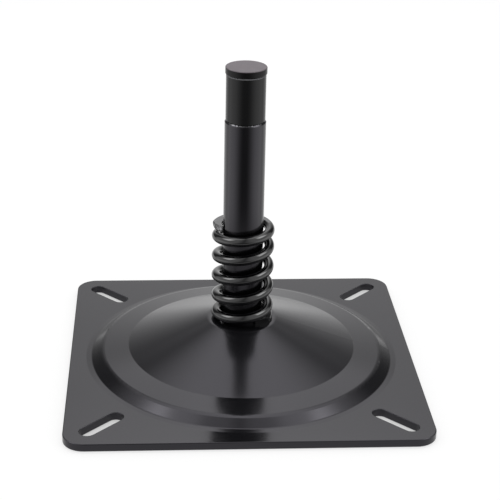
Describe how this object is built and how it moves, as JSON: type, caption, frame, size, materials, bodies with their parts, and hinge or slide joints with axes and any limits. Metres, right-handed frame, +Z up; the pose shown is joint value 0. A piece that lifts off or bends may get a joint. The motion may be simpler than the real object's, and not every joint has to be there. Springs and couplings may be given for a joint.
{
  "type": "plug-in boat seat pin mount",
  "caption": "Boat seat mount: square pressed steel plate with a round dish and slotted corners, an upright seat pin, and a cushion spring round the pin's foot.",
  "frame": {"origin": "centre of the plate's flat underside, on the pin's axis", "axes": "+Z up along the pin; X and Y parallel to the sides of the square plate"},
  "size_m": [0.178, 0.178, 0.1596],
  "materials": {
    "plate_coating": "satin black powder coat on pressed steel",
    "pin_coating": "satin black coat on a turned steel bar",
    "spring_enamel": "gloss black on spring steel wire",
    "black_plastic": "smooth black moulded plastic",
    "cap_plastic": "matte dark grey moulded plastic"
  },
  "bodies": {
    "mount": {"mounting_plate": "plate_coating", "seat_pin": "pin_coating", "pin_weld": "plate_coating", "guide_sleeve": "black_plastic", "end_cap": "cap_plastic"},
    "spring": {"coil_spring": "spring_enamel"}
  },
  "joints": [
    {"name": "spring_travel", "type": "slide", "parent": "mount", "child": "spring", "axis": [0, 0, -1], "range_m": [0, 0.02], "stiffness_N_per_m": 79000, "deforming": ["coil_spring"]}
  ]
}
